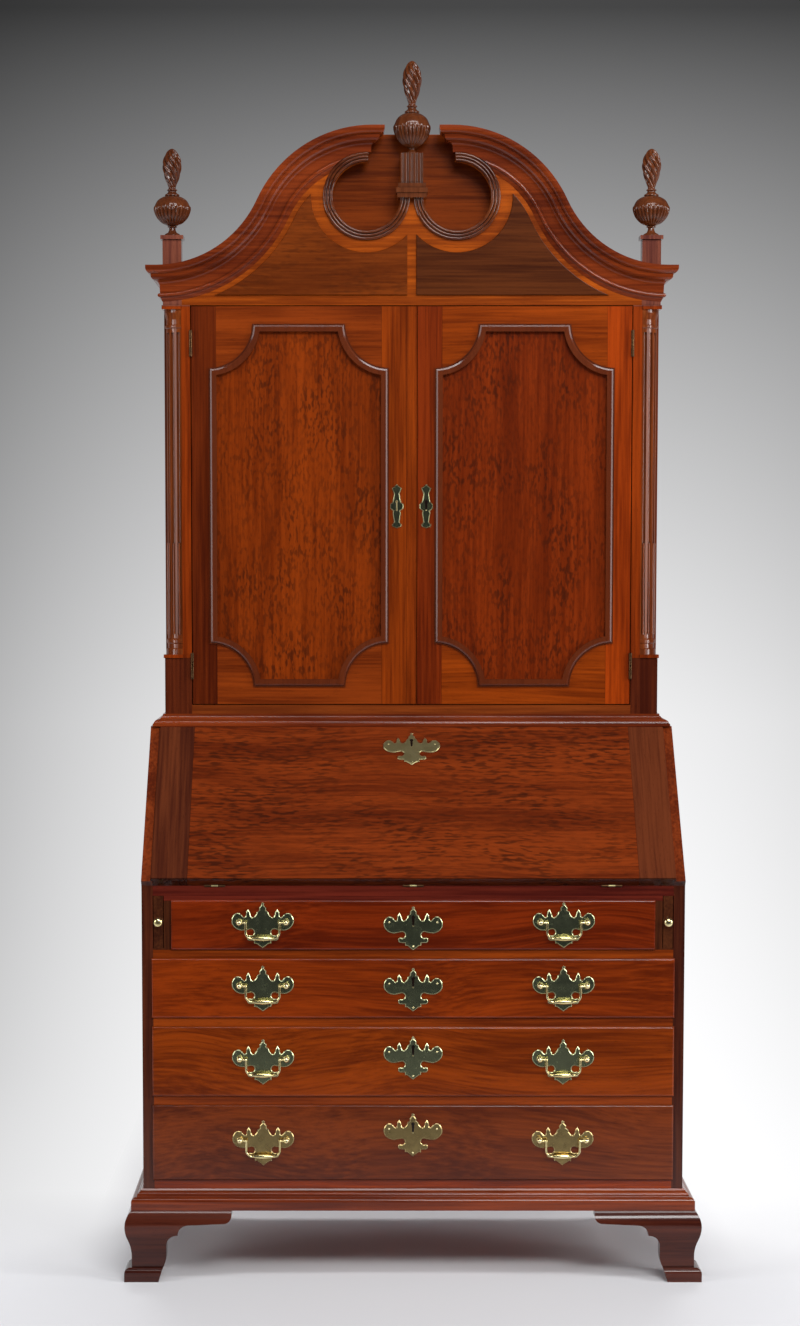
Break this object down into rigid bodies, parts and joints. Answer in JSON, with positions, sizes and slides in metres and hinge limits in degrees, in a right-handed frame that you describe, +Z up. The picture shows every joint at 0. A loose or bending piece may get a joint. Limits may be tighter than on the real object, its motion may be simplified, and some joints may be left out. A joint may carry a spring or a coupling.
{
  "type": "bureau bookcase",
  "caption": "Slant-front mahogany writing desk with lipped drawers under a panelled-door bookcase, crowned by a scrolled bonnet pediment with flame finials.",
  "frame": {"origin": "on the floor, in the middle of the overall width and depth", "axes": "+Z up, the front faces -Y, +X to the right of a viewer in front"},
  "size_m": [1.1376, 0.6112, 2.4173],
  "materials": {
    "mahogany": "polished",
    "figured_mahogany": "polished, mottled figure",
    "dark_mahogany": "polished, darkened",
    "secondary_wood": "plain, unpolished",
    "brass": "polished, aged in the recesses"
  },
  "bodies": {
    "case": {"desk_sides": "mahogany", "desk_boards": "mahogany", "desk_back_boards": "secondary_wood", "drawer_dividers": "mahogany", "drawer_runners": "secondary_wood", "bracket_feet": "dark_mahogany", "base_moulding": "mahogany", "waist_moulding": "mahogany", "pigeonhole_gallery": "mahogany", "bookcase_sides": "mahogany", "bookcase_shelves": "mahogany", "bookcase_back": "secondary_wood", "bookcase_front_frame": "mahogany", "quarter_columns": "mahogany", "pediment_board": "mahogany", "tympanum_panels": "figured_mahogany", "cornice": "mahogany", "scroll_rings": "dark_mahogany", "bonnet": "mahogany", "finial_plinths": "mahogany", "finials": "dark_mahogany", "hinge_fixed_leaves": "brass"},
    "left_door": {"left_door_frame": "mahogany", "left_door_panel": "figured_mahogany", "left_door_moulding": "mahogany", "left_door_brasses": "brass"},
    "right_door": {"right_door_frame": "mahogany", "right_door_panel": "figured_mahogany", "right_door_moulding": "mahogany", "right_door_brasses": "brass"},
    "fall": {"fall_board": "figured_mahogany", "fall_brasses": "brass"},
    "left_loper": {"left_loper": "mahogany", "left_loper_knob": "brass"},
    "right_loper": {"right_loper": "mahogany", "right_loper_knob": "brass"},
    "drawer_1": {"drawer_1_front": "mahogany", "drawer_1_box": "secondary_wood", "drawer_1_brasses": "brass"},
    "drawer_1_left_bail": {"drawer_1_left_bail": "brass"},
    "drawer_1_right_bail": {"drawer_1_right_bail": "brass"},
    "drawer_2": {"drawer_2_front": "mahogany", "drawer_2_box": "secondary_wood", "drawer_2_brasses": "brass"},
    "drawer_2_left_bail": {"drawer_2_left_bail": "brass"},
    "drawer_2_right_bail": {"drawer_2_right_bail": "brass"},
    "drawer_3": {"drawer_3_front": "mahogany", "drawer_3_box": "secondary_wood", "drawer_3_brasses": "brass"},
    "drawer_3_left_bail": {"drawer_3_left_bail": "brass"},
    "drawer_3_right_bail": {"drawer_3_right_bail": "brass"},
    "drawer_4": {"drawer_4_front": "mahogany", "drawer_4_box": "secondary_wood", "drawer_4_brasses": "brass"},
    "drawer_4_left_bail": {"drawer_4_left_bail": "brass"},
    "drawer_4_right_bail": {"drawer_4_right_bail": "brass"},
    "gallery_drawer_1": {"gallery_drawer_1": "mahogany"},
    "gallery_drawer_2": {"gallery_drawer_2": "mahogany"},
    "gallery_drawer_3": {"gallery_drawer_3": "mahogany"}
  },
  "joints": [
    {"name": "left_door_hinge", "type": "hinge", "parent": "case", "child": "left_door", "pos_m": [-0.448, 0.01915, 1.5], "axis": [0, 0, -1], "range_deg": [0, 160]},
    {"name": "right_door_hinge", "type": "hinge", "parent": "case", "child": "right_door", "pos_m": [0.448, 0.01915, 1.5], "axis": [0, 0, 1], "range_deg": [0, 160]},
    {"name": "fall_hinge", "type": "hinge", "parent": "case", "child": "fall", "pos_m": [0, -0.26935, 0.7817], "axis": [1, 0, 0], "range_deg": [0, 135]},
    {"name": "left_loper_slide", "type": "slide", "parent": "case", "child": "left_loper", "axis": [0, -1, 0], "range_m": [0, 0.33]},
    {"name": "right_loper_slide", "type": "slide", "parent": "case", "child": "right_loper", "axis": [0, -1, 0], "range_m": [0, 0.33]},
    {"name": "drawer_1_slide", "type": "slide", "parent": "case", "child": "drawer_1", "axis": [0, -1, 0], "range_m": [0, 0.42]},
    {"name": "drawer_1_left_bail_swing", "type": "hinge", "parent": "drawer_1", "child": "drawer_1_left_bail", "pos_m": [-0.295, -0.28865, 0.71075], "axis": [-1, 0, 0], "range_deg": [0, 100]},
    {"name": "drawer_1_right_bail_swing", "type": "hinge", "parent": "drawer_1", "child": "drawer_1_right_bail", "pos_m": [0.295, -0.28865, 0.71075], "axis": [-1, 0, 0], "range_deg": [0, 100]},
    {"name": "drawer_2_slide", "type": "slide", "parent": "case", "child": "drawer_2", "axis": [0, -1, 0], "range_m": [0, 0.42]},
    {"name": "drawer_2_left_bail_swing", "type": "hinge", "parent": "drawer_2", "child": "drawer_2_left_bail", "pos_m": [-0.295, -0.28865, 0.5855], "axis": [-1, 0, 0], "range_deg": [0, 100]},
    {"name": "drawer_2_right_bail_swing", "type": "hinge", "parent": "drawer_2", "child": "drawer_2_right_bail", "pos_m": [0.295, -0.28865, 0.5855], "axis": [-1, 0, 0], "range_deg": [0, 100]},
    {"name": "drawer_3_slide", "type": "slide", "parent": "case", "child": "drawer_3", "axis": [0, -1, 0], "range_m": [0, 0.42]},
    {"name": "drawer_3_left_bail_swing", "type": "hinge", "parent": "drawer_3", "child": "drawer_3_left_bail", "pos_m": [-0.295, -0.28865, 0.44], "axis": [-1, 0, 0], "range_deg": [0, 100]},
    {"name": "drawer_3_right_bail_swing", "type": "hinge", "parent": "drawer_3", "child": "drawer_3_right_bail", "pos_m": [0.295, -0.28865, 0.44], "axis": [-1, 0, 0], "range_deg": [0, 100]},
    {"name": "drawer_4_slide", "type": "slide", "parent": "case", "child": "drawer_4", "axis": [0, -1, 0], "range_m": [0, 0.42]},
    {"name": "drawer_4_left_bail_swing", "type": "hinge", "parent": "drawer_4", "child": "drawer_4_left_bail", "pos_m": [-0.295, -0.28865, 0.27825], "axis": [-1, 0, 0], "range_deg": [0, 100]},
    {"name": "drawer_4_right_bail_swing", "type": "hinge", "parent": "drawer_4", "child": "drawer_4_right_bail", "pos_m": [0.295, -0.28865, 0.27825], "axis": [-1, 0, 0], "range_deg": [0, 100]},
    {"name": "gallery_drawer_1_slide", "type": "slide", "parent": "case", "child": "gallery_drawer_1", "axis": [0, -1, 0], "range_m": [0, 0.15]},
    {"name": "gallery_drawer_2_slide", "type": "slide", "parent": "case", "child": "gallery_drawer_2", "axis": [0, -1, 0], "range_m": [0, 0.15]},
    {"name": "gallery_drawer_3_slide", "type": "slide", "parent": "case", "child": "gallery_drawer_3", "axis": [0, -1, 0], "range_m": [0, 0.15]}
  ]
}
